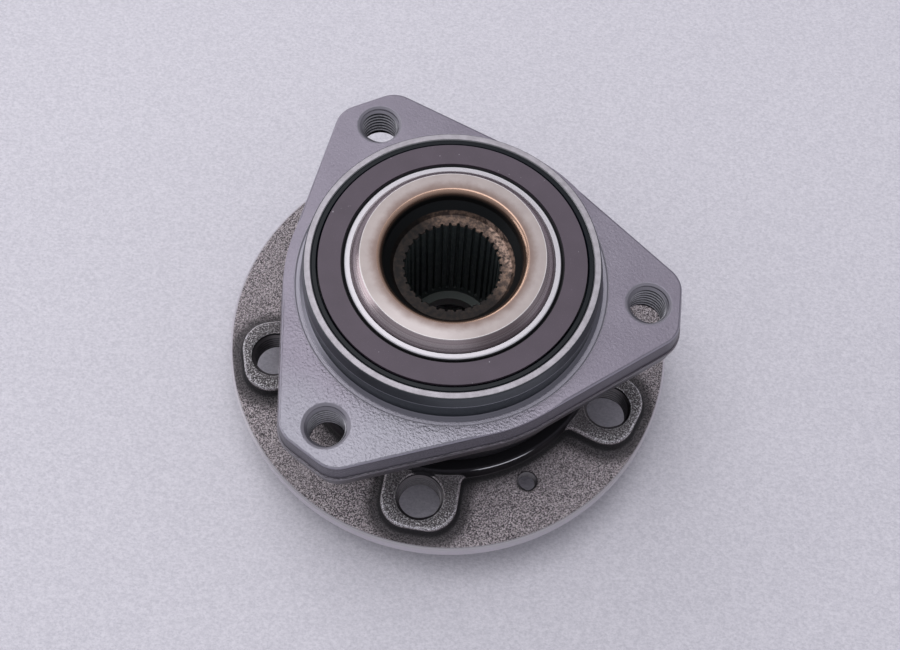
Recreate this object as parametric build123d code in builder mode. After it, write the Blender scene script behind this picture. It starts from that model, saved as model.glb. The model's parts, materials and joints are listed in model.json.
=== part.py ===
"""Driven wheel hub bearing unit with a triangular mounting flange.

A third-generation unit: the outer ring bolts to the steering knuckle, the splined hub
carries the wheel, and two rows of balls run between them.

Frame: millimetres. The origin is the centre of the face that the brake disc and wheel
seat on, +Z points inboard along the bearing's axis, and +X passes through one of the
three knuckle bolt holes. "Outboard" is the wheel's side, "inboard" the vehicle's side.
"""

import os
from math import atan, cos, degrees, pi, radians, sin

from build123d import *

os.makedirs("parts", exist_ok=True)

# ---------------------------------------------------------------- driving dimensions
# Diameters and heights are full sizes from the axis and from the disc's seating face.
# A name ending in _wall, _step, _gap, _clearance or _margin is measured on one side.

# Knuckle seat, and how far each bore and shoulder lies inside the one before
knuckle_seat_dia = 84.5
seal_bore_wall = 2.95
counterbore_step = 0.9
counterbore_lip = 0.45
outer_land_step = 2.3
inner_shoulder_step = 2.2
inner_low_shoulder_lip = 1.45
inner_ring_wall = 5.1
outboard_wall = 4.95
body_root_radius = 3.0
rim_edge = 0.35
seat_lead_step = 0.75
seat_lead_length = 4.2
seat_length = 11.6

# Ball rows
ball_dia = 12.7
ball_count = 14
contact_angle = 40.0
row_gap = 4.5
race_conformity = 0.52
race_clearance = 0.09
outboard_ball_clearance = 0.35
inboard_ball_clearance = 0.45
inner_ring_stand_out = 0.3
inner_ring_chamfer = 0.5

# Triangular flange that bolts to the knuckle, with the turned ring round the seat's foot
seat_relief_step = 1.05
seat_relief_height = 0.9
flange_groove_width = 1.4
flange_groove_depth = 0.35
flange_body_margin = 3.2
flange_thickness = 14.0
flange_tip_margin = 9.25
flange_flank_angle = 51.5
flange_corner_radius = 9.0
flange_draft_offset = 0.7
flash_width = 0.35
flash_thickness = 1.1
flange_edge_radius = 0.7
knuckle_bolt_count = 3
knuckle_bolt_margin = 8.45
knuckle_thread_dia = 12.0
thread_mouth_chamfer = 0.6

# Hub flange, where the brake disc and the wheel are bolted
wheel_pitch_circle = 108.0
wheel_bolt_count = 5
wheel_bolt_phase = -19.9
wheel_thread_dia = 14.0
wheel_thread_chamfer = 0.6
seating_face_chamfer = 0.4
hub_flange_margin = 14.0
hub_flange_thickness = 6.0
hub_flange_edge = 0.7
face_relief_step = 10.0
face_relief_depth = 0.4
disc_screw_dia = 6.0
disc_screw_chamfer = 0.8
disc_screw_step = 1.8

# Raised pads round the wheel bolt holes
pad_height = 5.0
pad_side_wall = 4.9
pad_end_wall = 3.2
pad_corner_radius = 8.5
pad_draft = 9.0
pad_edge_radius = 1.1
pad_foot_radius = 2.2

# Shoulder of the hub that the outboard seal runs on
shoulder_step = 6.8
shoulder_rise = 9.0
shoulder_edge_radius = 0.9
shoulder_root_radius = 2.6
seal_land_root_radius = 2.5
outboard_gap = 2.0

# Spigot that centres the brake disc and the wheel, and the nut recess inside it
disc_pilot_dia = 65.0
disc_pilot_height = 5.5
wheel_pilot_step = 0.85
wheel_pilot_height = 12.0
wheel_pilot_chamfer = 1.6
pilot_undercut_width = 1.6
pilot_undercut_depth = 0.6
pilot_wall = 6.15
nut_recess_draft = 2.5
nut_seat_height = 8.0
nut_recess_corner_radius = 2.0
web_thickness = 4.5

# Splines, and the mouth above them inside the collar
spline_count = 36
spline_minor_dia = 26.4
spline_tooth_height = 0.8
spline_run_out = 2.0
spline_tooth_share = 0.4
spline_tooth_taper = 0.45
spline_entry_chamfer = 0.3
spline_face_width = 2.6
spline_face_depth = 7.35
axle_bolt_hole_step = 2.6
mouth_lip_height = 3.6
mouth_lip_width = 1.9

# Collar: the end of the hub, rolled over to clamp the inner ring
collar_height = 3.15
collar_foot_step = 1.7
collar_slope_width = 2.8
collar_face_width = 4.6
collar_bulge = 0.35

# Cages
cage_outer_clearance = 0.7
cage_inner_clearance = 0.6
cage_gap = 0.8
cage_finger_reach = 3.0
pocket_clearance = 0.15

# Seals
seal_bore_depth = 5.2
seal_sheet = 0.8
seal_web_clearance = 3.7
seal_inset = 0.15
seal_lip_clearance = 0.2
seal_lip_thickness = 0.5
rubber_liner = 0.7
rubber_bead_height = 0.8
rubber_bead_rounding = 0.25
slinger_sheet = 0.6
slinger_sleeve_length = 3.8
encoder_outer_clearance = 1.9
encoder_inner_clearance = 0.8
encoder_thickness = 0.75
encoder_rim = 0.3
encoder_wrap = 0.5
encoder_inset = 0.05

# ---------------------------------------------------------------- derived dimensions
# Diameters of the bearing, from the knuckle seat inwards
seal_bore_dia = knuckle_seat_dia - 2 * seal_bore_wall
outer_counterbore_dia = seal_bore_dia - 2 * counterbore_step
ball_pitch_dia = outer_counterbore_dia + 2 * counterbore_lip - ball_dia
outer_land_dia = ball_pitch_dia + 2 * outer_land_step
inner_shoulder_dia = ball_pitch_dia - 2 * inner_shoulder_step
inner_low_shoulder_dia = ball_pitch_dia - ball_dia + 2 * inner_low_shoulder_lip
inner_ring_bore_dia = inner_low_shoulder_dia - 2 * inner_ring_wall
outboard_body_dia = seal_bore_dia + 2 * outboard_wall
seat_lead_dia = knuckle_seat_dia - 2 * seat_lead_step
ball_radius = ball_dia / 2
pitch_radius = ball_pitch_dia / 2
race_radius = race_conformity * ball_dia
race_shift = race_radius - ball_radius - race_clearance
race_shift_radial = race_shift * cos(radians(contact_angle))
race_shift_axial = race_shift * sin(radians(contact_angle))

# Diameters of the knuckle flange, from the seat outwards
seat_relief_dia = knuckle_seat_dia + 2 * seat_relief_step
flange_groove_dia = seat_relief_dia + 2 * flange_groove_width
flange_body_dia = flange_groove_dia + 2 * flange_body_margin
knuckle_bolt_circle = flange_body_dia + 2 * knuckle_bolt_margin
flange_tip_reach = knuckle_bolt_circle / 2 + flange_tip_margin

# Diameters of the hub flange and the spigot
hub_flange_dia = wheel_pitch_circle + 2 * hub_flange_margin
shoulder_dia = wheel_pitch_circle - 2 * shoulder_step
face_relief_dia = wheel_pitch_circle - 2 * face_relief_step
disc_screw_circle = wheel_pitch_circle - 2 * disc_screw_step
wheel_pilot_dia = disc_pilot_dia - 2 * wheel_pilot_step
nut_recess_mouth_dia = wheel_pilot_dia - 2 * pilot_wall
nut_recess_dia = nut_recess_mouth_dia - 2 * nut_recess_draft
pad_half_width = wheel_thread_dia / 2 + pad_side_wall
pad_overhang = wheel_thread_dia / 2 + pad_end_wall

# Diameters of the collar and the splined bore
collar_foot_dia = inner_shoulder_dia - 2 * collar_foot_step
collar_face_dia = collar_foot_dia - 2 * collar_slope_width
collar_inner_face_dia = collar_face_dia - 2 * collar_face_width
mouth_dia = collar_inner_face_dia - 2 * mouth_lip_width
spline_major_dia = spline_minor_dia + 2 * spline_tooth_height
spline_face_dia = spline_major_dia + 2 * spline_face_width
axle_bolt_hole_dia = spline_minor_dia - 2 * axle_bolt_hole_step

# Diameters of the cages and the seals
cage_outer_dia = outer_land_dia - 2 * cage_outer_clearance
cage_inner_dia = inner_shoulder_dia + 2 * cage_inner_clearance
seal_web_inner_dia = inner_shoulder_dia + 2 * seal_web_clearance
encoder_outer_dia = seal_bore_dia - 2 * encoder_outer_clearance
encoder_inner_dia = inner_shoulder_dia + 2 * encoder_inner_clearance
slinger_outer_dia = encoder_outer_dia - 2 * encoder_rim

# Heights, from the seating face of the hub flange inboard
pad_top = hub_flange_thickness + pad_height
shoulder_height = hub_flange_thickness + shoulder_rise
outer_ring_end_height = shoulder_height + outboard_gap
outboard_row_height = (outer_ring_end_height + seal_bore_depth + outboard_ball_clearance
                       + ball_radius)
row_spacing = ball_dia + row_gap
inboard_row_height = outboard_row_height + row_spacing
cage_back_reach = (row_spacing - cage_gap) / 2
outer_ring_top = (inboard_row_height + ball_radius + inboard_ball_clearance
                  + seal_bore_depth)
flange_top_height = outer_ring_top - seat_length
flange_mid_height = flange_top_height - flange_thickness / 2
flange_foot = flange_top_height - flange_thickness
inner_ring_foot = (outboard_row_height + inboard_row_height) / 2
inner_ring_top = outer_ring_top + inner_ring_stand_out
collar_top = inner_ring_top + collar_height
spline_face_height = collar_top - spline_face_depth
web_top = nut_seat_height + web_thickness

# Each row: its height, and the axial sense from the bearing's middle to the row
rows = {"outboard": (outboard_row_height, -1), "inboard": (inboard_row_height, 1)}


# ---------------------------------------------------------------- shared helpers
def race_section(row, ring):
    """Circle of a raceway's groove in the axial section, for ring 'inner' or 'outer'."""
    height, side = rows[row]
    sense = 1 if ring == "inner" else -1
    centre_radius = pitch_radius + sense * race_shift_radial
    centre_height = height - sense * side * race_shift_axial
    with Locations((centre_radius, centre_height)):
        Circle(race_radius)


def corner(section, radius, height):
    """The vertex of an axial section that lies nearest to (radius, height)."""
    return section.vertices().sort_by_distance((radius, height, 0))[0]


def circles(part, radius):
    """The circular edges of a part that have this radius."""
    found = part.edges().filter_by(GeomType.CIRCLE)
    return found.filter_by(lambda edge: abs(edge.radius - radius) < 1e-4)


def edges_at(part, height):
    """The edges of a part that lie at one height."""
    return part.edges().filter_by_position(Axis.Z, height - 1e-4, height + 1e-4)


def standing_edges(part):
    """The edges of a part that run between two different heights."""
    return part.edges().filter_by(lambda edge: abs((edge @ 1 - edge @ 0).Z) > 1e-3)


def save(part, name):
    """Label a finished piece and write it to its own STEP file."""
    part.label = name
    export_step(part, f"parts/{name}.step")


# ---------------------------------------------------------------- outer ring
def flange_outline(grow):
    """Triangular outline round the axis: a central circle with three blunt lobes."""
    body = flange_body_dia / 2 + grow
    tip = flange_tip_reach + grow
    flank = radians(flange_flank_angle)
    tangent_x = body * cos(flank)
    tangent_y = body * sin(flank)
    tip_y = (body - tip * cos(flank)) / sin(flank)
    Circle(body)
    with PolarLocations(0, knuckle_bolt_count):
        Polygon((0, 0), (tangent_x, -tangent_y), (tip, -tip_y), (tip, tip_y),
                (tangent_x, tangent_y), align=None)


def lobe_corners(sketch):
    """The six outermost corners of the triangular outline."""
    return sketch.vertices().group_by(lambda vertex: round(vertex.center().length))[-1]


def build_outer_ring():
    half_thickness = flange_thickness / 2
    draft = degrees(atan(flange_draft_offset / half_thickness))
    body_radius = outboard_body_dia / 2
    flange_radius = flange_body_dia / 2
    seat_radius = knuckle_seat_dia / 2
    lead_radius = seat_lead_dia / 2
    relief_radius = seat_relief_dia / 2
    groove_radius = flange_groove_dia / 2
    groove_floor = flange_top_height - flange_groove_depth
    seal_radius = seal_bore_dia / 2
    land_radius = outer_land_dia / 2
    counterbore_radius = outer_counterbore_dia / 2

    with BuildPart() as ring:
        # Triangular flange, drafted both ways from the forging's parting plane
        for direction in ((0, 0, 1), (0, 0, -1)):
            with BuildSketch(Plane.XY.offset(flange_mid_height)) as half:
                flange_outline(flange_draft_offset)
                fillet(lobe_corners(half), flange_corner_radius)
            extrude(amount=half_thickness, dir=direction, taper=draft)
        fillet(ring.edges().group_by(Axis.Z)[-1], flange_edge_radius)
        fillet(ring.edges().group_by(Axis.Z)[0], flange_edge_radius)

        # Flash line left round the parting plane
        with BuildSketch(Plane.XY.offset(flange_mid_height)) as flash:
            flange_outline(flange_draft_offset + flash_width)
            fillet(lobe_corners(flash), flange_corner_radius)
        extrude(amount=flash_thickness / 2, both=True)

        # Barrel: outboard body below the flange, knuckle seat above it
        with BuildSketch(Plane.XZ) as barrel:
            with BuildLine():
                Polyline(
                    (0, outer_ring_end_height),
                    (body_radius - rim_edge, outer_ring_end_height),
                    (body_radius, outer_ring_end_height + rim_edge),
                    (body_radius, flange_foot),
                    (flange_radius, flange_foot),
                    (flange_radius, flange_top_height),
                    (relief_radius, flange_top_height),
                    (seat_radius, flange_top_height + seat_relief_height),
                    (seat_radius, outer_ring_top - seat_lead_length),
                    (lead_radius, outer_ring_top - rim_edge),
                    (lead_radius - rim_edge, outer_ring_top),
                    (0, outer_ring_top),
                    close=True,
                )
            make_face()
            fillet(corner(barrel, body_radius, flange_foot), body_root_radius)
        revolve(axis=Axis.Z)

        # Shallow turned groove in the flange face, round the foot of the seat
        with BuildSketch(Plane.XZ) as groove:
            with BuildLine():
                Polyline(
                    (relief_radius, flange_top_height + seat_relief_height),
                    (relief_radius, groove_floor),
                    (groove_radius - flange_groove_depth, groove_floor),
                    (groove_radius, flange_top_height),
                    (groove_radius, flange_top_height + seat_relief_height),
                    close=True,
                )
            make_face()
        revolve(axis=Axis.Z, mode=Mode.SUBTRACT)

        # Bore: seal seats at both ends, counterbores outside the rows, land between them
        with BuildSketch(Plane.XZ) as bore:
            with BuildLine():
                Polyline(
                    (0, outer_ring_end_height),
                    (seal_radius + rim_edge, outer_ring_end_height),
                    (seal_radius, outer_ring_end_height + rim_edge),
                    (seal_radius, outer_ring_end_height + seal_bore_depth),
                    (counterbore_radius, outer_ring_end_height + seal_bore_depth),
                    (counterbore_radius, outboard_row_height),
                    (land_radius, outboard_row_height),
                    (land_radius, inboard_row_height),
                    (counterbore_radius, inboard_row_height),
                    (counterbore_radius, outer_ring_top - seal_bore_depth),
                    (seal_radius, outer_ring_top - seal_bore_depth),
                    (seal_radius, outer_ring_top - rim_edge),
                    (seal_radius + rim_edge, outer_ring_top),
                    (0, outer_ring_top),
                    close=True,
                )
            make_face()
        revolve(axis=Axis.Z, mode=Mode.SUBTRACT)
        for row in rows:
            with BuildSketch(Plane.XZ):
                race_section(row, "outer")
            revolve(axis=Axis.Z, mode=Mode.SUBTRACT)

        # Threaded holes for the knuckle bolts, at the thread's major diameter
        with Locations(Plane.XY.offset(flange_top_height)):
            with PolarLocations(knuckle_bolt_circle / 2, knuckle_bolt_count):
                Hole(knuckle_thread_dia / 2, depth=flange_thickness)
        chamfer(circles(ring, knuckle_thread_dia / 2), thread_mouth_chamfer)
    return ring.part


# ---------------------------------------------------------------- hub
def build_hub():
    hub_radius = hub_flange_dia / 2
    disc_pilot_radius = disc_pilot_dia / 2
    wheel_pilot_radius = wheel_pilot_dia / 2
    undercut_radius = disc_pilot_radius + pilot_undercut_width
    relief_radius = face_relief_dia / 2
    shoulder_radius = shoulder_dia / 2
    race_shoulder_radius = inner_shoulder_dia / 2
    low_shoulder_radius = inner_low_shoulder_dia / 2
    journal_radius = inner_ring_bore_dia / 2
    foot_radius = collar_foot_dia / 2
    face_radius = collar_face_dia / 2
    inner_face_radius = collar_inner_face_dia / 2
    mouth_radius = mouth_dia / 2
    minor_radius = spline_minor_dia / 2
    major_radius = spline_major_dia / 2
    hole_radius = axle_bolt_hole_dia / 2
    thread_radius = wheel_thread_dia / 2
    pad_outer_end = wheel_pitch_circle / 2 + pad_overhang
    pad_inner_end = shoulder_radius - pad_corner_radius - pad_height
    pad_centre = (pad_outer_end + pad_inner_end) / 2
    slope_middle = ((foot_radius + face_radius + collar_bulge) / 2,
                    (inner_ring_top + collar_top + collar_bulge) / 2)

    with BuildPart() as hub:
        # Raised pads round the wheel bolt holes
        with BuildSketch(Plane.XY.offset(hub_flange_thickness)):
            with PolarLocations(pad_centre, wheel_bolt_count, start_angle=wheel_bolt_phase):
                Rectangle(pad_outer_end - pad_inner_end, 2 * pad_half_width)
        extrude(amount=pad_height, taper=pad_draft)
        fillet(standing_edges(hub), pad_corner_radius)
        fillet(hub.edges().group_by(Axis.Z)[-1], pad_edge_radius)

        # Turned outline, from the wheel pilot up to the rolled collar
        with BuildSketch(Plane.XZ) as outline:
            with BuildLine():
                Polyline(
                    (face_radius, collar_top),
                    (0, collar_top),
                    (0, -wheel_pilot_height),
                    (wheel_pilot_radius - wheel_pilot_chamfer, -wheel_pilot_height),
                    (wheel_pilot_radius, wheel_pilot_chamfer - wheel_pilot_height),
                    (wheel_pilot_radius, -disc_pilot_height),
                    (disc_pilot_radius, -disc_pilot_height),
                    (disc_pilot_radius, pilot_undercut_depth + face_relief_depth),
                    (undercut_radius, pilot_undercut_depth + face_relief_depth),
                    (undercut_radius, face_relief_depth),
                    (relief_radius - face_relief_depth, face_relief_depth),
                    (relief_radius, 0),
                    (hub_radius - hub_flange_edge, 0),
                    (hub_radius, hub_flange_edge),
                    (hub_radius, hub_flange_thickness - hub_flange_edge),
                    (hub_radius - hub_flange_edge, hub_flange_thickness),
                    (shoulder_radius, hub_flange_thickness),
                    (shoulder_radius, shoulder_height),
                    (race_shoulder_radius, shoulder_height),
                    (race_shoulder_radius, outboard_row_height),
                    (low_shoulder_radius, outboard_row_height),
                    (low_shoulder_radius, inner_ring_foot),
                    (journal_radius, inner_ring_foot),
                    (journal_radius, inner_ring_top),
                    (foot_radius, inner_ring_top),
                )
                ThreePointArc((foot_radius, inner_ring_top), slope_middle,
                              (face_radius, collar_top))
            make_face()
            fillet(corner(outline, shoulder_radius, hub_flange_thickness), shoulder_root_radius)
            fillet(corner(outline, shoulder_radius, shoulder_height), shoulder_edge_radius)
            fillet(corner(outline, race_shoulder_radius, shoulder_height), seal_land_root_radius)
        revolve(axis=Axis.Z)

        # Concave radius round the foot of each pad
        feet = edges_at(hub, hub_flange_thickness).filter_by(GeomType.CIRCLE, reverse=True)
        fillet(feet, pad_foot_radius)

        # Bore: nut recess, web, splined length, then the mouth inside the collar
        with BuildSketch(Plane.XZ) as bore:
            with BuildLine():
                Polyline(
                    (inner_face_radius, collar_top),
                    (0, collar_top),
                    (0, -wheel_pilot_height),
                    (nut_recess_mouth_dia / 2, -wheel_pilot_height),
                    (nut_recess_dia / 2, nut_seat_height),
                    (hole_radius, nut_seat_height),
                    (hole_radius, web_top),
                    (minor_radius, web_top),
                    (minor_radius, spline_face_height - spline_entry_chamfer),
                    (minor_radius + spline_entry_chamfer, spline_face_height),
                    (spline_face_dia / 2, spline_face_height),
                    (mouth_radius, collar_top - mouth_lip_height),
                )
                EllipticalCenterArc(
                    (inner_face_radius, collar_top - mouth_lip_height),
                    inner_face_radius - mouth_radius, mouth_lip_height,
                    start_angle=90, arc_size=90,
                )
            make_face()
            fillet(corner(bore, nut_recess_dia / 2, nut_seat_height), nut_recess_corner_radius)
        revolve(axis=Axis.Z, mode=Mode.SUBTRACT)
        with BuildSketch(Plane.XZ):
            race_section("outboard", "inner")
        revolve(axis=Axis.Z, mode=Mode.SUBTRACT)

        # Spline: spaces cut between straight-sided teeth
        space_angle = 2 * pi / spline_count * (1 - spline_tooth_share)
        foot_half = minor_radius * space_angle / 2
        crest_half = foot_half * spline_tooth_taper
        with BuildSketch(Plane.XY.offset(spline_face_height)):
            with PolarLocations(0, spline_count):
                Polygon((minor_radius - foot_half, -foot_half), (major_radius, -crest_half),
                        (major_radius, crest_half), (minor_radius - foot_half, foot_half),
                        align=None)
        extrude(amount=web_top + spline_run_out - spline_face_height, mode=Mode.SUBTRACT)

        # Threaded wheel bolt holes, at the thread's major diameter; each one scallops
        # the shoulder, because its drill passes close by
        with Locations(Plane.XY.offset(pad_top)):
            with PolarLocations(wheel_pitch_circle / 2, wheel_bolt_count,
                                start_angle=wheel_bolt_phase):
                CounterSinkHole(thread_radius, thread_radius + wheel_thread_chamfer,
                                depth=pad_top, counter_sink_angle=90)
        chamfer(circles(hub, thread_radius).group_by(Axis.Z)[0], seating_face_chamfer)
        with BuildSketch(Plane.XY.offset(pad_top)):
            with PolarLocations(wheel_pitch_circle / 2, wheel_bolt_count,
                                start_angle=wheel_bolt_phase):
                Circle(thread_radius + wheel_thread_chamfer)
        extrude(amount=shoulder_height, mode=Mode.SUBTRACT)

        # Threaded hole for the screw that holds the brake disc
        with Locations(Plane.XY.offset(hub_flange_thickness)):
            with PolarLocations(disc_screw_circle / 2, 1,
                                start_angle=wheel_bolt_phase - 180 / wheel_bolt_count):
                Hole(disc_screw_dia / 2, depth=hub_flange_thickness)
        chamfer(circles(hub, disc_screw_dia / 2), disc_screw_chamfer)
    return hub.part


# ---------------------------------------------------------------- inner ring
def build_inner_ring():
    bore_radius = inner_ring_bore_dia / 2
    shoulder_radius = inner_shoulder_dia / 2
    low_shoulder_radius = inner_low_shoulder_dia / 2
    with BuildPart() as ring:
        with BuildSketch(Plane.XZ):
            with BuildLine():
                Polyline(
                    (bore_radius, inner_ring_foot),
                    (low_shoulder_radius, inner_ring_foot),
                    (low_shoulder_radius, inboard_row_height),
                    (shoulder_radius, inboard_row_height),
                    (shoulder_radius, inner_ring_top - inner_ring_chamfer),
                    (shoulder_radius - inner_ring_chamfer, inner_ring_top),
                    (bore_radius, inner_ring_top),
                    close=True,
                )
            make_face()
        revolve(axis=Axis.Z)
        with BuildSketch(Plane.XZ):
            race_section("inboard", "inner")
        revolve(axis=Axis.Z, mode=Mode.SUBTRACT)
    return ring.part


# ---------------------------------------------------------------- balls and cages
def ball_angle(index):
    """Angle of a ball round the bearing's axis, in degrees."""
    return index * 360 / ball_count


def build_ball(row, index):
    height = rows[row][0]
    with BuildPart() as ball:
        with Locations(Plane.XY.offset(height)):
            with PolarLocations(pitch_radius, 1, start_angle=ball_angle(index)):
                Sphere(ball_radius)
    return ball.part


def build_cage(row):
    """Crown cage: a closed rim on the bearing's middle side, fingers between the balls."""
    height, side = rows[row]
    rim_face = height - side * cage_back_reach
    finger_tip = height + side * cage_finger_reach
    with BuildPart() as cage:
        with BuildSketch(Plane.XZ):
            with BuildLine():
                Polyline(
                    (cage_inner_dia / 2, rim_face),
                    (cage_outer_dia / 2, rim_face),
                    (cage_outer_dia / 2, finger_tip),
                    (cage_inner_dia / 2, finger_tip),
                    close=True,
                )
            make_face()
        revolve(axis=Axis.Z)
        with Locations(Plane.XY.offset(height)):
            with PolarLocations(pitch_radius, ball_count):
                Sphere(ball_radius + pocket_clearance, mode=Mode.SUBTRACT)
    return cage.part


# ---------------------------------------------------------------- seals
# Both seals have one section, drawn by its depth from the seal's open end into the
# bearing; "end" is the height of that open end and "inward" the sense of the depth.
seal_ends = {
    "outboard": (outer_ring_end_height + seal_inset, 1),
    "inboard": (outer_ring_top - seal_inset, -1),
}
seal_depth = seal_bore_depth - seal_inset
seal_bore_radius = seal_bore_dia / 2
case_inner_radius = seal_bore_radius - seal_sheet
liner_radius = case_inner_radius - rubber_liner
web_inner_radius = seal_web_inner_dia / 2


def seal_section(row, points):
    """Axial section from (radius, depth) points of the seal of one row."""
    end, inward = seal_ends[row]
    Polygon(*[(radius, end + inward * depth) for radius, depth in points], align=None)


def build_seal_case(row):
    """Pressed steel case: a sleeve in the outer ring's bore, with a web across."""
    with BuildPart() as case:
        with BuildSketch(Plane.XZ):
            seal_section(row, (
                (seal_bore_radius, rubber_bead_height),
                (seal_bore_radius, seal_depth),
                (web_inner_radius, seal_depth),
                (web_inner_radius, seal_depth - seal_sheet),
                (case_inner_radius, seal_depth - seal_sheet),
                (case_inner_radius, rubber_bead_height),
            ))
        revolve(axis=Axis.Z)
    return case.part


def build_seal_rubber(row, land_radius, face_depth):
    """Rubber moulded on the case: bead, liner, a radial lip and an axial lip.

    land_radius is the turning cylinder that the radial lip wipes, and face_depth the
    depth of the turning face that the axial lip wipes.
    """
    liner_floor = seal_depth - seal_sheet - rubber_liner
    lip_radius = land_radius + seal_lip_clearance
    lip_depth = liner_floor - 2 * seal_lip_thickness
    axial_root = (web_inner_radius + liner_radius) / 2
    axial_tip = axial_root + 2 * seal_lip_thickness
    axial_depth = face_depth + seal_lip_clearance
    with BuildPart() as rubber:
        with BuildSketch(Plane.XZ):
            seal_section(row, (
                (seal_bore_radius, rubber_bead_height),
                (seal_bore_radius, rubber_bead_rounding),
                (seal_bore_radius - rubber_bead_rounding, 0),
                (liner_radius + rubber_bead_rounding, 0),
                (liner_radius, rubber_bead_rounding),
                (liner_radius, liner_floor),
                (axial_root + seal_lip_thickness, liner_floor),
                (axial_tip + seal_lip_thickness, axial_depth),
                (axial_tip, axial_depth),
                (axial_root, liner_floor),
                (web_inner_radius, liner_floor),
                (lip_radius + seal_lip_thickness, lip_depth),
                (lip_radius, lip_depth),
                (lip_radius, lip_depth + seal_lip_thickness),
                (web_inner_radius - rubber_liner, liner_floor + rubber_liner),
                (web_inner_radius - rubber_liner, seal_depth),
                (web_inner_radius, seal_depth),
                (web_inner_radius, seal_depth - seal_sheet),
                (case_inner_radius, seal_depth - seal_sheet),
                (case_inner_radius, rubber_bead_height),
            ))
        revolve(axis=Axis.Z)
    return rubber.part


# The slinger turns with the inner ring and carries the encoder on its outer face
encoder_top = inner_ring_top - encoder_inset
slinger_top = encoder_top - encoder_thickness
slinger_underside = slinger_top - slinger_sheet
sleeve_radius = inner_shoulder_dia / 2 + slinger_sheet


def build_slinger():
    sleeve_end = slinger_top - slinger_sleeve_length
    with BuildPart() as slinger:
        with BuildSketch(Plane.XZ):
            with BuildLine():
                Polyline(
                    (inner_shoulder_dia / 2, sleeve_end),
                    (sleeve_radius, sleeve_end),
                    (sleeve_radius, slinger_underside),
                    (slinger_outer_dia / 2, slinger_underside),
                    (slinger_outer_dia / 2, slinger_top),
                    (sleeve_radius, slinger_top),
                    (inner_shoulder_dia / 2, slinger_underside),
                    close=True,
                )
            make_face()
        revolve(axis=Axis.Z)
    return slinger.part


def build_encoder():
    """Magnetised rubber ring bonded to the slinger and wrapped round its rim."""
    with BuildPart() as encoder:
        with BuildSketch(Plane.XZ):
            with BuildLine():
                Polyline(
                    (encoder_inner_dia / 2, slinger_top),
                    (slinger_outer_dia / 2, slinger_top),
                    (slinger_outer_dia / 2, slinger_top - encoder_wrap),
                    (encoder_outer_dia / 2, slinger_top - encoder_wrap),
                    (encoder_outer_dia / 2, encoder_top),
                    (encoder_inner_dia / 2, encoder_top),
                    close=True,
                )
            make_face()
        revolve(axis=Axis.Z)
    return encoder.part


# ---------------------------------------------------------------- all pieces
save(build_outer_ring(), "outer_ring")
save(build_hub(), "hub")
save(build_inner_ring(), "inner_ring")
save(build_slinger(), "slinger")
save(build_encoder(), "magnetic_encoder")

outboard_face_depth = shoulder_height - (outer_ring_end_height + seal_inset)
inboard_face_depth = outer_ring_top - seal_inset - slinger_underside
save(build_seal_case("outboard"), "outboard_seal_case")
save(build_seal_rubber("outboard", inner_shoulder_dia / 2, outboard_face_depth),
     "outboard_seal_rubber")
save(build_seal_case("inboard"), "inboard_seal_case")
save(build_seal_rubber("inboard", sleeve_radius, inboard_face_depth), "inboard_seal_rubber")

for row in rows:
    save(build_cage(row), f"{row}_cage")
    for index in range(ball_count):
        save(build_ball(row, index), f"{row}_ball_{index + 1:02d}")
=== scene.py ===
"""Looks of the wheel hub bearing: camera, light, floor, threads and materials.

Lengths in materials and threads are millimetres. Materials take them from object
coordinates times 1000, since every piece's object stands at the frame's origin.
"""

import json
from math import cos, pi, radians, sin

import bpy
from mathutils import Matrix, Vector


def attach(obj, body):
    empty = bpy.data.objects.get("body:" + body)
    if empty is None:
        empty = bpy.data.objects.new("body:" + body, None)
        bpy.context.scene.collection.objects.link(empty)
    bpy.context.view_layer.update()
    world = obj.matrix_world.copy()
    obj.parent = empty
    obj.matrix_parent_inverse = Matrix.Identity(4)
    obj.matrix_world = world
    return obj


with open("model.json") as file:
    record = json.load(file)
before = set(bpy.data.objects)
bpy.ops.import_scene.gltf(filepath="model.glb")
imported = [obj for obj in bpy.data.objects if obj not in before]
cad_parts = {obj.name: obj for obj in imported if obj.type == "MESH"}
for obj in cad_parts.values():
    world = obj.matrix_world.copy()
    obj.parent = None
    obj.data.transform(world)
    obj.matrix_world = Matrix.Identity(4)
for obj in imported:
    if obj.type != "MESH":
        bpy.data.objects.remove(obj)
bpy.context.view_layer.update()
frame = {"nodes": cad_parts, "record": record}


def on_circle(radius, *angles):
    """Points (x, y) on a circle round the axis, at angles in degrees."""
    return [(radius * cos(radians(angle)), radius * sin(radians(angle))) for angle in angles]


# ---------------------------------------------------------------- sizes of the part's source
FLOOR = -12.0

# Outer ring, heights
RING_END = 17.0
FLANGE_UNDERSIDE = 32.5
FLASH_LINE = 39.5
FLANGE_TOP = 46.5
SEAT_LEAD = 53.9
RIM_TOP = 58.1
# Outer ring, radii
SEAL_BORE = 39.3
SEAT_RELIEF = 43.3
BODY = 44.25
GROOVE = 44.7

# Inner ring: height of its top, and radius of its shoulder
INNER_RING_TOP = 58.4
INNER_RING = 30.3
# Encoder, radius of its bore
ENCODER_BORE = 31.1

# Hub, heights
WHEEL_FACE_CHAMFER = 0.7
WHEEL_FLANGE = 6.0
PAD_TOP = 11.0
WEB_TOP = 12.5
SHOULDER_TOP = 15.0
SPLINE_FACE = 54.2
COLLAR_TOP = 61.55
# Hub, radii
SPLINE_TIP = 13.2
SPLINE_ROOT = 14.0
MOUTH = 19.3
COLLAR_FACE_INNER = 21.2
COLLAR_FACE_OUTER = 25.8
COLLAR_FOOT = 28.6
SPIGOT = 32.5
SHOULDER = 47.2
HUB_EDGE = 68.0

# Pads of the hub: angles, then lengths in plan
PAD_SPACING = 72.0
PAD_PHASE = -19.9
PAD_OUTER_END = 64.2
PAD_HALF_WIDTH = 11.9
PAD_CORNER = 8.5

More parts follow.
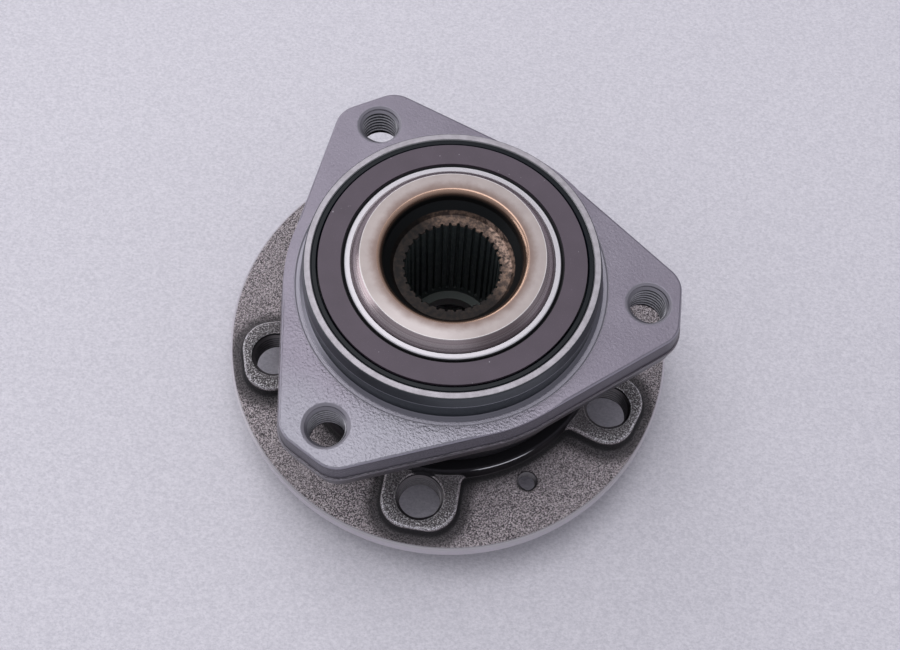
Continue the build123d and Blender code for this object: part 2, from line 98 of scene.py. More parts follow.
# Hole centres
KNUCKLE_HOLES = on_circle(56.35, 0, 120, 240)
WHEEL_HOLES = on_circle(54.0, *(PAD_PHASE + PAD_SPACING * i for i in range(5)))
SCREW_HOLE = on_circle(52.2, -55.9)[0]

# Threads: outer radius, pitch, lowest point, and height where the chamfer starts
KNUCKLE_THREAD = {"major": 6.0, "pitch": 1.5, "bottom": 33.1, "mouth": 45.9}
WHEEL_THREAD = {"major": 7.0, "pitch": 1.5, "bottom": 0.4, "mouth": 10.4}
SCREW_THREAD = {"major": 3.0, "pitch": 1.0, "bottom": 0.8, "mouth": 5.2}


# ---------------------------------------------------------------- material helpers
def colour(red, green, blue):
    """Linear colour of an 8-bit sRGB one."""
    return tuple(c / 3294.6 if c <= 10.31 else ((c / 255 + 0.055) / 1.055) ** 2.4
                 for c in (red, green, blue)) + (1.0,)


class Finish:
    """A material with one Principled shader, and shorthands for its nodes.

    A mask is a value from 0 to 1. Every value may be a socket or a number. A Mix node
    has its numbers A and B in sockets 2 and 3, and its colours A and B in 6 and 7.
    """

    def __init__(self, name, metallic=0.0, roughness=0.5):
        self.material = bpy.data.materials.new(name)
        self.material.use_nodes = True
        self.tree = self.material.node_tree
        self.shader = self.tree.nodes["Principled BSDF"]
        self.shader.inputs["Metallic"].default_value = metallic
        self.shader.inputs["Roughness"].default_value = roughness
        place = self.add("ShaderNodeTexCoord").outputs["Object"]
        self.place = self.vector("SCALE", place, scale=1000.0)
        split = self.add("ShaderNodeSeparateXYZ")
        self.join(self.place, split.inputs[0])
        self.x, self.y, self.z = split.outputs
        self.radius = self.math("SQRT", self.plus(self.times(self.x, self.x),
                                                  self.times(self.y, self.y)))
        self.rings = self.point(self.radius, self.z)

    def add(self, kind, **settings):
        node = self.tree.nodes.new(kind)
        for key, value in settings.items():
            setattr(node, key, value)
        return node

    def join(self, source, target):
        if isinstance(source, bpy.types.NodeSocket):
            self.tree.links.new(source, target)
        else:
            target.default_value = source

    def math(self, operation, *values):
        node = self.add("ShaderNodeMath", operation=operation)
        for value, target in zip(values, node.inputs):
            self.join(value, target)
        return node.outputs[0]

    def plus(self, first, second):
        return self.math("ADD", first, second)

    def times(self, first, second):
        return self.math("MULTIPLY", first, second)

    def vector(self, operation, *values, scale=None):
        node = self.add("ShaderNodeVectorMath", operation=operation)
        for value, target in zip(values, node.inputs):
            self.join(value, target)
        if scale is not None:
            node.inputs["Scale"].default_value = scale
        return node.outputs["Value" if operation == "DISTANCE" else "Vector"]

    def point(self, first, second):
        """Point of two coordinates, with a third one of 0."""
        node = self.add("ShaderNodeCombineXYZ")
        self.join(first, node.inputs[0])
        self.join(second, node.inputs[1])
        return node.outputs[0]

    def scaled(self, value, low, high):
        """A 0 to 1 value stretched to low to high."""
        return self.plus(self.times(value, high - low), low)

    def above(self, value, low, high):
        """Mask of 0 at low and 1 at high, smooth between."""
        node = self.add("ShaderNodeMapRange", interpolation_type="SMOOTHSTEP")
        self.join(value, node.inputs["Value"])
        node.inputs["From Min"].default_value = low
        node.inputs["From Max"].default_value = high
        return node.outputs["Result"]

    def below(self, value, low, high):
        """Mask of 1 at low and 0 at high, smooth between."""
        return self.inverse(self.above(value, low, high))

    def band(self, value, low, high, soft=0.1):
        """Mask of 1 between low and high, and 0 outside."""
        return self.both(self.above(value, low - soft, low + soft),
                         self.below(value, high - soft, high + soft))

    def both(self, *masks):
        result = masks[0]
        for mask in masks[1:]:
            result = self.times(result, mask)
        return result

    def either(self, *masks):
        result = masks[0]
        for mask in masks[1:]:
            result = self.math("MAXIMUM", result, mask)
        return result

    def inverse(self, mask):
        return self.math("SUBTRACT", 1.0, mask)

    def near(self, places, reach, soft=0.15):
        """Mask of 1 within reach of the vertical axes at the places."""
        flat = self.point(self.x, self.y)
        found = [self.vector("DISTANCE", flat, (px, py, 0.0)) for px, py in places]
        nearest = found[0]
        for other in found[1:]:
            nearest = self.math("MINIMUM", nearest, other)
        return self.below(nearest, reach - soft, reach + soft)

    def pad_distance(self):
        """Distance from the foot of the nearest pad, below zero on the pad."""
        angle = self.math("SUBTRACT", self.math("ARCTAN2", self.y, self.x), radians(PAD_PHASE))
        angle = self.math("WRAP", angle, radians(PAD_SPACING / 2), radians(-PAD_SPACING / 2))
        along = self.math("SUBTRACT", self.times(self.radius, self.math("COSINE", angle)),
                          PAD_OUTER_END - PAD_CORNER)
        across = self.math("ABSOLUTE", self.times(self.radius, self.math("SINE", angle)))
        across = self.math("SUBTRACT", across, PAD_HALF_WIDTH - PAD_CORNER)
        corner = self.point(self.math("MAXIMUM", along, 0.0), self.math("MAXIMUM", across, 0.0))
        outside = self.vector("DISTANCE", corner, (0.0, 0.0, 0.0))
        inside = self.math("MINIMUM", self.math("MAXIMUM", along, across), 0.0)
        return self.math("SUBTRACT", self.plus(outside, inside), PAD_CORNER)

    def noise(self, scale, detail=2.0, roughness=0.5, place=None):
        node = self.add("ShaderNodeTexNoise")
        self.join(self.place if place is None else place, node.inputs["Vector"])
        node.inputs["Scale"].default_value = scale
        node.inputs["Detail"].default_value = detail
        node.inputs["Roughness"].default_value = roughness
        return node.outputs["Fac"]

    def cells(self, scale):
        node = self.add("ShaderNodeTexVoronoi")
        self.join(self.place, node.inputs["Vector"])
        node.inputs["Scale"].default_value = scale
        return node.outputs["Distance"]

    def mix(self, mask, first, second):
        """Colour that is the first where the mask is 0 and the second where it is 1."""
        node = self.add("ShaderNodeMix", data_type="RGBA")
        self.join(mask, node.inputs[0])
        self.join(first, node.inputs[6])
        self.join(second, node.inputs[7])
        return node.outputs[2]

    def blend(self, mask, first, second):
        """Number that is the first where the mask is 0 and the second where it is 1."""
        node = self.add("ShaderNodeMix", data_type="FLOAT")
        self.join(mask, node.inputs[0])
        self.join(first, node.inputs[2])
        self.join(second, node.inputs[3])
        return node.outputs[0]

    def paint(self, base, over, *masks):
        """Base with a colour laid over it where all the masks meet."""
        return self.mix(self.both(*masks), base, over)

    def bump(self, height, depth, after=None):
        """A bump of this depth in millimetres for heights of 0 to 1."""
        node = self.add("ShaderNodeBump")
        node.inputs["Distance"].default_value = depth / 1000
        self.join(height, node.inputs["Height"])
        if after is not None:
            self.join(after, node.inputs["Normal"])
        return node.outputs["Normal"]

    def finish(self, base=None, roughness=None, metallic=None, normal=None):
        for value, name in ((base, "Base Color"), (roughness, "Roughness"),
                            (metallic, "Metallic"), (normal, "Normal")):
            if value is not None:
                self.join(value, self.shader.inputs[name])
        return self.material


# ---------------------------------------------------------------- outer ring
def coated_forging():
    f = Finish("coated_forging")
    seat_side = f.both(f.above(f.z, FLANGE_TOP - 0.4, FLANGE_TOP - 0.3),
                       f.below(f.radius, SEAT_RELIEF + 0.1, SEAT_RELIEF + 0.2))
    end_face = f.both(f.below(f.z, RING_END + 0.5, RING_END + 0.6),
                      f.below(f.radius, BODY - 0.15, BODY - 0.05))
    bore = f.below(f.radius, SEAL_BORE + 0.3, SEAL_BORE + 0.4)
    holes = f.near(KNUCKLE_HOLES, KNUCKLE_THREAD["major"] + 0.7)
    bare = f.either(seat_side, end_face, bore, holes)

    # Satin coating on a shot-blasted skin, painted paler towards -y as a painted highlight
    peel = f.noise(1.45, 2.0, 0.45)
    fine = f.noise(2.6, 3.0, 0.6)
    tone = f.noise(0.05, 2.0)
    specks = f.above(fine, 0.6, 0.7)
    stains = f.above(f.noise(1.3, 2.0), 0.7, 0.74)
    painted_sheen = f.above(f.plus(f.times(tone, 30.0), f.y), -12.0, -40.0)
    coat = f.mix(f.scaled(tone, -0.3, 1.3), colour(118, 112, 124), colour(135, 129, 141))
    coat = f.paint(coat, colour(166, 163, 173), specks, 0.4)
    coat = f.paint(coat, colour(88, 84, 95), stains, 0.35)
    # Painted highlight: paler peel colours towards -y
    coat = f.paint(coat, f.mix(peel, colour(137, 138, 146), colour(164, 165, 172)), painted_sheen, 0.46)

    # Groove at the foot of the seat, and a painted highlight on its outer edge
    groove = f.both(f.band(f.radius, SEAT_RELIEF + 0.15, GROOVE + 0.15, 0.05),
                    f.above(f.z, FLANGE_TOP - 1.1, FLANGE_TOP - 1.0))
    groove_edge_highlight = f.band(f.radius, GROOVE - 0.1, GROOVE + 0.15, 0.06)
    coat = f.paint(coat, colour(122, 119, 129), groove, 0.6)
    # Painted highlight: a light line on the groove's outer edge
    coat = f.paint(coat, colour(166, 163, 172), groove_edge_highlight, groove, 0.35)

    # From the flange's edge down: painted shade on the flank and under the edge, a painted
    # highlight on the edge, the flash line, and painted shade on the lower flank and the body
    flank = f.both(f.below(f.z, FLANGE_TOP - 1.0, FLANGE_TOP - 0.7), f.inverse(groove))
    under_edge_shade = f.band(f.z, FLANGE_TOP - 1.15, FLANGE_TOP - 0.85, 0.1)
    edge = f.band(f.z, FLANGE_TOP - 0.45, FLANGE_TOP - 0.1, 0.07)
    shaded_lower_flank = f.below(f.z, FLASH_LINE - 0.7, FLASH_LINE - 0.4)
    body = f.below(f.z, FLANGE_UNDERSIDE - 1.0, FLANGE_UNDERSIDE + 1.0)
    flash = f.band(f.z, FLASH_LINE - 0.5, FLASH_LINE + 0.5, 0.12)
    # Painted shade on the flank and under the edge, and a painted highlight on the edge
    coat = f.paint(coat, colour(82, 78, 85), flank, 0.75)
    coat = f.paint(coat, colour(62, 60, 68), under_edge_shade, f.inverse(groove))
    coat = f.paint(coat, colour(178, 174, 186), edge, 0.8)
    # Painted shade on the lower flank and the body
    coat = f.paint(coat, colour(78, 72, 77), shaded_lower_flank, 0.9)
    coat = f.paint(coat, colour(50, 50, 55), body, 0.9)
    coat = f.paint(coat, colour(134, 128, 134), flash, 0.7)

    # Ground seat with lead and rim, the bore, and the threaded holes with their chamfers
    turned = f.noise(3.2, 3.0, 0.6, place=f.rings)
    rim = f.above(f.z, RIM_TOP - 0.15, RIM_TOP - 0.05)
    lead = f.above(f.z, SEAT_LEAD - 0.1, SEAT_LEAD + 0.05)
    lead_edge_highlight = f.band(f.z, SEAT_LEAD - 0.15, SEAT_LEAD + 0.1, 0.08)
    seat_foot_reflection = f.band(f.z, FLANGE_TOP - 0.5, FLANGE_TOP + 1.0, 0.2)
    shade_behind_seal = f.band(f.z, RIM_TOP - 2.5, RIM_TOP - 0.3, 0.2)
    chamfers = f.both(holes, f.above(f.z, FLANGE_TOP - 1.15, FLANGE_TOP - 1.05))
    worn = f.above(f.noise(0.4, 5.0, 0.65), 0.3, 0.7)
    # Painted shade: the seat and its lead have a dark base
    ground = f.mix(lead, colour(73, 82, 87), colour(83, 87, 91))
    # Painted highlight on the lead's edge
    ground = f.paint(ground, colour(186, 188, 196), lead_edge_highlight)
    # Painted reflection: a lighter band at the seat's foot
    ground = f.paint(ground, colour(128, 126, 136), seat_foot_reflection)
    ground = f.paint(ground, f.mix(worn, colour(158, 153, 159), colour(180, 175, 182)), rim)
    ground = f.paint(ground, colour(150, 150, 154), bore, f.inverse(rim))
    ground = f.paint(ground, colour(40, 40, 44), f.scaled(turned, -0.1, 0.35))
    # Painted shade in the bore behind the seal
    ground = f.paint(ground, colour(22, 26, 31), bore, shade_behind_seal)
    ground = f.paint(ground, colour(84, 84, 92), holes)
    ground = f.paint(ground, colour(148, 144, 155), chamfers)

    matt = f.either(chamfers, groove)
    rough = f.blend(bare, f.scaled(fine, 0.28, 0.42),
                    f.blend(rim, f.scaled(turned, 0.24, 0.42), f.scaled(turned, 0.42, 0.54)))
    rough = f.blend(matt, rough, 0.5)
    metallic = f.blend(matt, f.blend(bare, 0.78, 0.88), 0.25)

    # The orange peel is stronger in patches towards -x and -y
    slant = f.plus(f.y, f.times(f.x, 0.45))
    patches = f.above(f.plus(f.times(f.noise(0.04, 1.0), 40.0), slant), 4.0, -18.0)
    height = f.plus(f.times(peel, f.scaled(patches, 0.16, 0.58)), f.times(fine, 0.1))
    skin = f.bump(f.both(height, f.inverse(bare)), 0.32)
    marks = f.bump(f.both(turned, bare), 0.012, skin)
    return f.finish(f.mix(bare, coat, ground), rough, metallic, marks)


# ---------------------------------------------------------------- hub
def forged_steel():
    f = Finish("forged_steel")
    wheel_side = f.below(f.z, WHEEL_FACE_CHAMFER - 0.08, WHEEL_FACE_CHAMFER)
    hub_edge = f.above(f.radius, HUB_EDGE - 0.8, HUB_EDGE - 0.65)
    shoulder = f.both(f.below(f.radius, SHOULDER + 0.05, SHOULDER + 0.2),
                      f.above(f.z, WHEEL_FLANGE + 2.6, WHEEL_FLANGE + 3.4))
    holes = f.either(f.near(WHEEL_HOLES, WHEEL_THREAD["major"] + 0.08, 0.06),
                     f.near([SCREW_HOLE], SCREW_THREAD["major"] + 0.12, 0.06))
    spigot = f.both(f.below(f.radius, SPIGOT + 0.1, SPIGOT + 0.2),
                    f.below(f.z, WEB_TOP - 0.2, WEB_TOP - 0.1))
    machined = f.either(wheel_side, hub_edge, shoulder, holes, spigot)

    # Forged and shot-blasted skin
    grit = f.noise(2.45, 5.0, 0.8)
    pits = f.cells(1.2)
    broad = f.above(f.noise(0.06, 2.0), 0.35, 0.7)
    skin = f.mix(f.above(grit, 0.45, 0.55), colour(58, 53, 57), colour(222, 209, 214))
    skin = f.paint(skin, colour(152, 143, 148), broad, 0.3)
    skin = f.paint(skin, colour(44, 40, 43), f.below(pits, 0.1, 0.24), 0.6)

    # Pads: painted highlights as sparkle on their edges, fading towards the shoulder, painted
    # shade on their top, and painted highlight specks near the top's rim
    foot = f.pad_distance()
    raised = f.band(f.z, PAD_TOP - 1.1, PAD_TOP - 0.1, 0.12)
    top = f.above(f.z, PAD_TOP - 0.2, PAD_TOP - 0.04)
    outward = f.either(f.scaled(f.above(f.radius, 50.0, 60.0), 0.3, 1.0),
                       f.below(f.z, WHEEL_FLANGE + 3.0, WHEEL_FLANGE + 3.8))
    edge_highlight_grit = f.above(f.plus(grit, f.times(raised, 0.09)), 0.57, 0.62)
    top_highlight_grit = f.above(f.noise(2.1, 3.0, 0.7), 0.53, 0.59)
    lit_top = f.scaled(f.above(foot, -6.0, -2.0), 0.4, 0.9)
    # Painted highlights on the pads' edges, painted shade on their tops, and painted highlight
    # specks near the tops' rims
    skin = f.paint(skin, colour(246, 243, 248), edge_highlight_grit, f.scaled(raised, 0.5, 1.0), outward)
    skin = f.paint(skin, colour(38, 36, 40), top, 0.72)
    skin = f.paint(skin, colour(240, 237, 241), top, top_highlight_grit, lit_top, outward)

    # Painted shade on the pads' flanks, round their feet and round the shoulder
    flank = f.band(f.z, WHEEL_FLANGE + 0.5, WHEEL_FLANGE + 3.2, 0.45)
    low = f.below(f.z, WHEEL_FLANGE + 3.2, WHEEL_FLANGE + 3.7)
    shade_beside_shoulder = f.below(f.radius, SHOULDER - 0.7, SHOULDER + 5.3)
    pad_foot_shade = f.both(f.below(foot, 1.6, 5.6), low, 0.9)
    skin = f.paint(skin, colour(34, 32, 35), flank, 0.88)
    skin = f.paint(skin, colour(36, 35, 39), pad_foot_shade, f.scaled(grit, 0.7, 1.0))
    skin = f.paint(skin, colour(30, 29, 32), shade_beside_shoulder, low, 0.8)

    # Turned and drilled surfaces; the shoulder is painted dark as painted shade, with a painted
    # highlight on a stretch of its edge
    turned = f.noise(3.0, 3.0, 0.6, place=f.rings)
    crest = f.both(shoulder, f.band(f.z, SHOULDER_TOP - 0.5, SHOULDER_TOP - 0.24, 0.04),
                   f.band(f.x, 14.0, 28.0, 2.5), f.below(f.y, -5.0, 0.0))
    metal = f.mix(turned, colour(150, 146, 148), colour(196, 192, 194))
    # Painted shade on the shoulder
    metal = f.paint(metal, colour(46, 44, 48), shoulder)
    # Painted highlight: a bright stretch on the shoulder's edge
    metal = f.paint(metal, colour(250, 250, 252), crest)
    metal = f.paint(metal, f.mix(turned, colour(196, 190, 196), colour(232, 227, 232)), hub_edge)
    # Painted shade: the holes' walls are darker than the other drilled and turned metal
    metal = f.paint(metal, colour(54, 52, 56), holes)
    metal = f.paint(metal, colour(120, 114, 114), spigot, f.above(f.z, FLOOR + 1.0, FLOOR + 2.0))

    # Face of the rolled collar, with a painted highlight towards -x and -y
    collar_side = f.above(f.z, 50.0, 50.2)
    stain = f.noise(0.3, 3.0, 0.6)
    collar_highlight = f.both(f.above(f.y, -12.0, -23.0), f.above(f.x, 12.0, -2.0))
    collar = f.mix(f.scaled(stain, -0.1, 1.0), colour(158, 147, 146), colour(175, 165, 163))
    collar = f.paint(collar, colour(220, 212, 213), collar_highlight, 0.4)

    # Its pressed slope with streaks, a painted reflection as a darker patch, a painted highlight
    # on its upper edge and painted shade at its foot
    slope = f.above(f.radius, COLLAR_FACE_OUTER - 0.1, COLLAR_FACE_OUTER + 0.1)
    slope_edge_highlight = f.band(f.radius, COLLAR_FACE_OUTER - 0.15, COLLAR_FACE_OUTER + 0.1, 0.06)
    slope_foot_shade = f.below(f.z, INNER_RING_TOP + 0.2, INNER_RING_TOP + 0.9)
    seam = f.below(f.z, INNER_RING_TOP, INNER_RING_TOP + 0.25)
    streaks = f.noise(1.4, 4.0, 0.7, place=f.rings)
    dark_reflection_strip = f.both(f.near([(15.5, -21.5)], 8.0, 5.0), f.above(streaks, 0.62, 0.5), 0.75)
    pressed = f.mix(f.above(streaks, 0.35, 0.65), colour(158, 143, 148), colour(206, 194, 198))
    pressed = f.paint(pressed, colour(96, 82, 86), dark_reflection_strip)
    collar = f.paint(collar, pressed, slope, 0.9)
    collar = f.paint(collar, colour(240, 238, 240), slope_edge_highlight, 0.45)
    collar = f.paint(collar, colour(92, 80, 82), slope_foot_shade, 0.7)
    collar = f.paint(collar, colour(26, 24, 26), seam)

    # Heat tint round the mouth; its edge pale copper, partly tint and partly painted highlight,
    # and painted shade inside
    tint = f.below(f.plus(f.radius, f.times(stain, 1.6)), COLLAR_FACE_INNER + 0.6,
                   COLLAR_FACE_INNER + 3.6)
    mouth = f.below(f.radius, COLLAR_FACE_INNER - 0.3, COLLAR_FACE_INNER + 0.05)
    deep = f.below(f.z, COLLAR_TOP - 2.15, COLLAR_TOP - 0.25)
    collar = f.paint(collar, colour(120, 98, 90), tint, 0.8)
    collar = f.paint(collar, f.mix(deep, colour(172, 142, 126), colour(40, 42, 44)), mouth)

    # Face above the splines: rust, with painted shade on one side and painted highlight patches
    # on the other
    face = f.both(f.below(f.radius, MOUTH - 0.1, MOUTH + 0.1),
                  f.below(f.z, SPLINE_FACE + 1.1, SPLINE_FACE + 1.4))
    rust = f.noise(0.7, 5.0, 0.7)
    shaded_side = f.below(f.plus(f.y, f.times(f.x, 0.9)), 0.5, 13.0)
    lit_patches = f.both(f.above(f.plus(f.x, f.times(f.y, 0.6)), 15.2, 17.8),
                    f.above(rust, 0.4, 0.6))
    rusted = f.mix(f.above(rust, 0.4, 0.66), colour(74, 64, 61), colour(128, 107, 95))
    rusted = f.paint(rusted, colour(27, 27, 28), shaded_side, 0.9)
    rusted = f.paint(rusted, colour(180, 154, 141), lit_patches, 0.8)
    collar = f.paint(collar, rusted, face)

    # Splines, and the web under them
    splines = f.both(f.below(f.radius, SPLINE_ROOT + 0.7, SPLINE_ROOT + 0.8),
                     f.below(f.z, SPLINE_FACE - 0.6, SPLINE_FACE - 0.1))
    collar = f.paint(collar, f.mix(f.above(rust, 0.4, 0.7), colour(56, 63, 65),
                                   colour(76, 82, 81)), splines)
    web = f.both(f.below(f.radius, SPLINE_TIP - 0.1, SPLINE_TIP),
                 f.below(f.z, WEB_TOP + 0.2, WEB_TOP + 0.4),
                 f.above(f.z, WEB_TOP - 0.3, WEB_TOP - 0.1))

    bore = f.both(f.below(f.radius, COLLAR_FOOT + 0.4, COLLAR_FOOT + 0.5),
                  f.above(f.z, WEB_TOP + 0.1, WEB_TOP + 0.3))
    base = f.mix(machined, skin, metal)
    base = f.paint(base, collar, f.either(bore, collar_side))
    base = f.paint(base, colour(114, 120, 118), web)

    smooth = f.either(machined, bore, collar_side)
    dull = f.either(f.both(bore, f.inverse(collar_side)), f.both(mouth, deep))
    rough = f.blend(smooth, f.scaled(grit, 0.62, 0.4), f.scaled(turned, 0.22, 0.36))
    rough = f.blend(collar_side, rough, f.scaled(turned, 0.36, 0.48))
    rough = f.blend(dull, rough, 0.5)
    rough = f.blend(shoulder, rough, 0.5)
    rough = f.blend(crest, rough, 0.14)
    rough = f.blend(face, rough, 0.5)
    rough = f.blend(f.both(collar_side, slope), rough, f.scaled(streaks, 0.12, 0.42))
    rough = f.blend(f.both(mouth, f.inverse(deep)), rough, 0.2)
    metallic = f.blend(splines, f.blend(smooth, 0.35, 0.92), 0.2)
    height = f.plus(grit, f.times(pits, 0.6))
    blasted = f.bump(f.both(height, f.inverse(smooth)), 0.42)
    marks = f.bump(f.both(turned, smooth), 0.014, blasted)
    return f.finish(base, rough, metallic, marks)


# ---------------------------------------------------------------- smaller finishes
def ground_steel():
    """Inner ring: its outer chamfer is matt, with painted shade as a dark line where it ends,
    beside the gap.
    """
    f = Finish("ground_steel")
    lines = f.noise(4.0, 2.0, 0.4, place=f.rings)
    chamfer = f.both(f.above(f.radius, INNER_RING - 0.8, INNER_RING - 0.6),
                     f.above(f.z, INNER_RING_TOP - 1.4, INNER_RING_TOP - 1.2))
    chamfer_end_shade = f.above(f.radius, INNER_RING - 0.35, INNER_RING - 0.25)
    base = f.mix(lines, colour(166, 162, 167), colour(184, 180, 186))
    base = f.paint(base, colour(206, 203, 209), chamfer)
    base = f.paint(base, colour(26, 26, 30), chamfer_end_shade, chamfer)
    return f.finish(base, f.blend(chamfer, f.scaled(lines, 0.3, 0.4), 0.5),
                    f.blend(chamfer, 0.95, 0.1), f.bump(lines, 0.002))


def bearing_steel():
    f = Finish("bearing_steel", metallic=1.0)
    haze = f.noise(0.4, 3.0)
    base = f.mix(haze, colour(214, 214, 218), colour(236, 236, 240))
    return f.finish(base, f.scaled(haze, 0.04, 0.12), normal=f.bump(f.noise(6.0, 2.0), 0.001))


def seal_steel():
    """Seal cases and slinger, with painted shade in the gap between inner ring and encoder."""
    f = Finish("seal_steel")
    lines = f.noise(2.5, 3.0, 0.6, place=f.rings)
    gap = f.both(f.band(f.radius, INNER_RING - 0.1, ENCODER_BORE + 0.3),
                 f.above(f.z, INNER_RING_TOP - 4.4, INNER_RING_TOP - 4.2))
    base = f.mix(lines, colour(150, 150, 154), colour(186, 186, 190))
    base = f.paint(base, colour(24, 24, 28), gap)
    rough = f.blend(gap, f.scaled(lines, 0.28, 0.42), 0.65)
    return f.finish(base, rough, f.blend(gap, 0.9, 0.1), f.bump(lines, 0.01))


def seal_rubber():
    f = Finish("seal_rubber")
    f.shader.inputs["Specular IOR Level"].default_value = 0.2
    grain = f.noise(2.2, 3.0, 0.6)
    base = f.mix(grain, colour(5, 9, 15), colour(11, 18, 27))
    return f.finish(base, f.scaled(grain, 0.24, 0.34), normal=f.bump(grain, 0.01))


def encoder_rubber():
    f = Finish("encoder_rubber")
    grain = f.noise(3.2, 4.0, 0.7)
    dust = f.above(f.noise(0.9, 2.0), 0.75, 0.78)
    base = f.mix(f.noise(0.12, 2.0), colour(70, 59, 70), colour(86, 73, 86))
    base = f.paint(base, colour(140, 132, 142), f.above(grain, 0.62, 0.72), 0.4)
    base = f.paint(base, colour(176, 170, 180), dust, 0.7)
    return f.finish(base, f.scaled(grain, 0.46, 0.62), normal=f.bump(grain, 0.03))


def cage_polyamide():
    f = Finish("cage_polyamide")
    f.shader.inputs["Subsurface Weight"].default_value = 0.08
    glass = f.noise(1.6, 4.0, 0.7)
    base = f.mix(glass, colour(186, 172, 142), colour(214, 202, 176))
    return f.finish(base, f.scaled(glass, 0.36, 0.56), normal=f.bump(glass, 0.03))


def cut_thread(name, holes, crest, root, mouth, dark, light, lip):
    """Ridges: painted highlight on the crest radius, painted shade from the root on, lip near
    the mouth.
    """
    f = Finish(name, metallic=0.85)
    grain = f.noise(1.6, 3.0, 0.6)
    base = f.mix(f.near(holes, crest, root - crest), dark, light)
    base = f.paint(base, dark, f.above(grain, 0.4, 0.7), 0.3)
    base = f.paint(base, lip, f.above(f.z, mouth - 1.5, mouth - 1.0))
    return f.finish(base, f.scaled(grain, 0.26, 0.44), normal=f.bump(grain, 0.02))


finishes = {}
for make in (coated_forging, forged_steel, ground_steel, bearing_steel, seal_steel,
             seal_rubber, encoder_rubber, cage_polyamide):
    finishes[make.__name__] = make()
for subpart in frame["record"]["subparts"]:
    mesh = frame["nodes"][subpart["node"]].data
    mesh.materials.clear()
    mesh.materials.append(finishes[subpart["material_slot"]])


# ---------------------------------------------------------------- pieces of the scene
def add_object(name, data):
    """Object in the scene; data is its mesh, camera or light."""
    piece = bpy.data.objects.new(name, data)
    bpy.context.scene.collection.objects.link(piece)
    return piece


# Threads. Parts of the pitch: depth of the ridge, half its foot and half its crest
RIDGE_DEPTH = 0.54
HALF_FOOT = 0.45
HALF_CREST = 0.07
# Turns over which the crest comes up at the bottom and goes down at the top
RUN_IN = 0.6
RUN_OUT = 0.2
STEPS_PER_TURN = 56
# Part of the ridge's depth that is left at its two ends
STUB = 0.05
# Millimetres that the ridge's foot stands in the wall, and that it goes past the mouth
FOOT_IN_WALL = 0.06
PAST_MOUTH = 0.4


def thread(name, centre, size, body, material):
    """Helical ridge inside a hole, whose foot follows the chamfer at the mouth."""
    major, pitch, bottom, mouth = (size[key] for key in ("major", "pitch", "bottom", "mouth"))
    turns = (mouth + PAST_MOUTH - bottom) / pitch - 2 * HALF_FOOT
    count = int(turns * STEPS_PER_TURN)
    crest = major - RIDGE_DEPTH * pitch
    points, faces = [], []
    for i in range(count + 1):
        turn = i / STEPS_PER_TURN
        left = (count - i) / STEPS_PER_TURN
        angle = 2 * pi * turn
        height = bottom + (HALF_FOOT + turn) * pitch
        reach = min(1.0, turn / RUN_IN, left / RUN_OUT)
        wall = major + FOOT_IN_WALL + max(0.0, height + HALF_FOOT * pitch - mouth)
        inner = wall + (crest - wall) * (STUB + (1 - STUB) * reach)
        for radius, offset in ((wall, -HALF_FOOT), (inner, -HALF_CREST),
                               (inner, HALF_CREST), (wall, HALF_FOOT)):
            points.append(((centre[0] + radius * cos(angle)) / 1000,
                           (centre[1] + radius * sin(angle)) / 1000,
                           (height + offset * pitch) / 1000))
        if i:
            a, b = 4 * (i - 1), 4 * i
            faces += [(a + k, b + k, b + (k + 1) % 4, a + (k + 1) % 4) for k in range(4)]
    faces += [(3, 2, 1, 0), tuple(4 * count + k for k in range(4))]
    mesh = bpy.data.meshes.new(name)
    mesh.from_pydata(points, [], faces)
    mesh.validate()
    mesh.materials.append(material)
    piece = add_object(name, mesh)
    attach(piece, body)


knuckle_thread = cut_thread("knuckle_thread", KNUCKLE_HOLES, crest=5.4, root=5.7,
                            mouth=KNUCKLE_THREAD["mouth"], dark=colour(22, 24, 28),
                            light=colour(182, 180, 188), lip=colour(128, 125, 134))
wheel_thread = cut_thread("wheel_thread", WHEEL_HOLES + [SCREW_HOLE], crest=6.45, root=6.75,
                          mouth=WHEEL_THREAD["mouth"], dark=colour(30, 30, 33),
                          light=colour(112, 108, 112), lip=colour(96, 91, 95))
for number, hole in enumerate(KNUCKLE_HOLES, 1):
    thread(f"knuckle_thread_{number}", hole, KNUCKLE_THREAD, "outer_ring",
           knuckle_thread)
for number, hole in enumerate(WHEEL_HOLES, 1):
    thread(f"wheel_thread_{number}", hole, WHEEL_THREAD, "hub", wheel_thread)
thread("disc_screw_thread", SCREW_HOLE, SCREW_THREAD, "hub", wheel_thread)


def floor():
    """Sheet of pale foam, with fine grain and shallow ripples."""
    reach = 12.0
    z = FLOOR / 1000
    mesh = bpy.data.meshes.new("floor")
    mesh.from_pydata([(-reach, -reach, z), (reach, -reach, z), (reach, reach, z),
                      (-reach, reach, z)], [], [(0, 1, 2, 3)])
    f = Finish("floor", roughness=0.55)
    foam = f.noise(1.3, 4.0, 0.75, place=f.vector("MULTIPLY", f.place, (0.7, 1.0, 1.0)))
    ripple = f.noise(0.012, 2.0)
    base = f.mix(f.above(foam, 0.25, 0.75), colour(193, 190, 200), colour(223, 219, 228))
    normal = f.bump(f.plus(f.times(foam, 0.12), ripple), 1.2)
    mesh.materials.append(f.finish(base, normal=normal))
    add_object("floor", mesh)


floor()


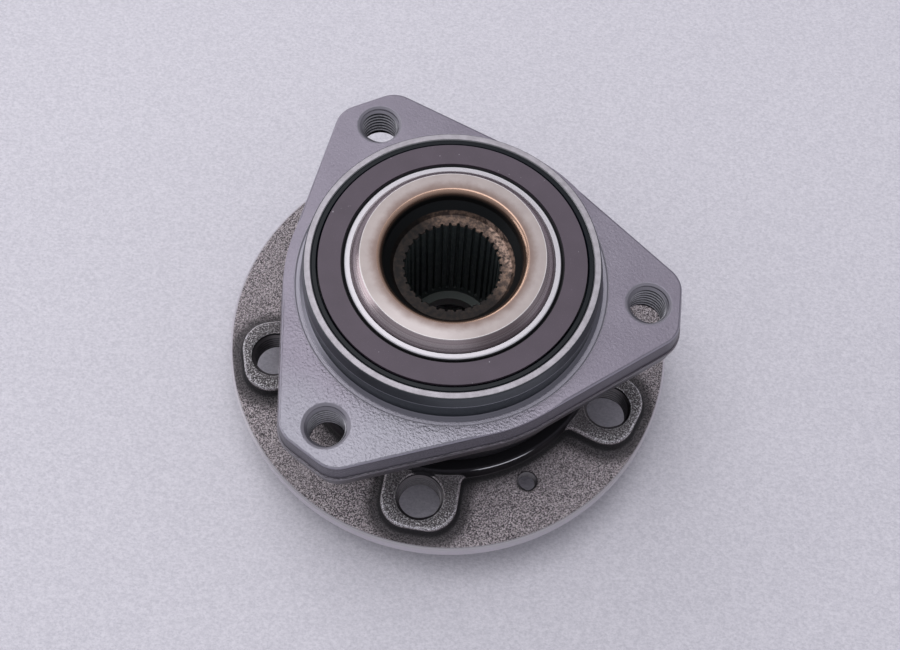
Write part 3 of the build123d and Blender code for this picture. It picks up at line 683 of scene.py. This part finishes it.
# ---------------------------------------------------------------- camera
def camera():
    """Camera solved from the photograph: metres, radians, and focal length in pixels."""
    focal, image_width = 1309.083, 900
    distance, elevation, azimuth = 0.41014, 1.14501251, radians(-85.604)
    roll, pan, tilt = -0.055346179, -0.000562947, 0.009674441
    target = Vector((0, 0, 0.006))
    away = Vector((cos(elevation) * cos(azimuth), cos(elevation) * sin(azimuth), sin(elevation)))
    forward = -away
    right = forward.cross(Vector((0, 0, 1))).normalized()
    up = right.cross(forward)
    turn = Matrix.Rotation(pan, 3, up)
    forward, right = turn @ forward, turn @ right
    turn = Matrix.Rotation(tilt, 3, right)
    forward, up = turn @ forward, turn @ up
    turn = Matrix.Rotation(roll, 3, forward)
    right, up = turn @ right, turn @ up
    data = bpy.data.cameras.new("camera")
    data.sensor_width = 36.0
    data.sensor_fit = "HORIZONTAL"
    data.lens = focal / image_width * data.sensor_width
    data.clip_start, data.clip_end = 0.01, 20.0
    pose = Matrix((right, up, -forward)).transposed().to_4x4()
    pose.translation = target + distance * away
    piece = add_object("camera", data)
    piece.matrix_world = pose
    bpy.context.scene.camera = piece


camera()


# ---------------------------------------------------------------- light
def softbox(name, place, aim, width, height, power):
    """Rectangular lamp; lengths in metres, power in watts."""
    data = bpy.data.lights.new(name, "AREA")
    data.shape = "RECTANGLE"
    data.size, data.size_y = width, height
    data.energy = power
    piece = add_object(name, data)
    piece.location = place
    piece.rotation_euler = (Vector(aim) - Vector(place)).to_track_quat("-Z", "Y").to_euler()


def studio():
    """World that is darker near the horizon and pale overhead."""
    world = bpy.data.worlds.new("studio")
    bpy.context.scene.world = world
    world.use_nodes = True
    nodes, links = world.node_tree.nodes, world.node_tree.links
    sky = nodes["Background"]
    sky.inputs["Strength"].default_value = 1.0
    direction = nodes.new("ShaderNodeTexCoord")
    height = nodes.new("ShaderNodeSeparateXYZ")
    fade = nodes.new("ShaderNodeMix")
    fade.data_type = "RGBA"
    fade.inputs[6].default_value = (0.2, 0.205, 0.225, 1.0)
    fade.inputs[7].default_value = (0.74, 0.75, 0.79, 1.0)
    links.new(direction.outputs["Generated"], height.inputs[0])
    links.new(height.outputs["Z"], fade.inputs[0])
    links.new(fade.outputs[2], sky.inputs["Color"])


softbox("window", (-0.9, 1.25, 1.0), (0, 0, 0), 1.2, 0.8, 5.4)
softbox("side", (-1.3, 0.0, 0.45), (0, 0, 0.03), 0.9, 0.5, 2.4)
softbox("overhead", (-0.26, 0.2, 1.5), (0, 0, 0), 1.2, 1.0, 7.5)
studio()

bpy.context.scene.view_settings.view_transform = "Standard"
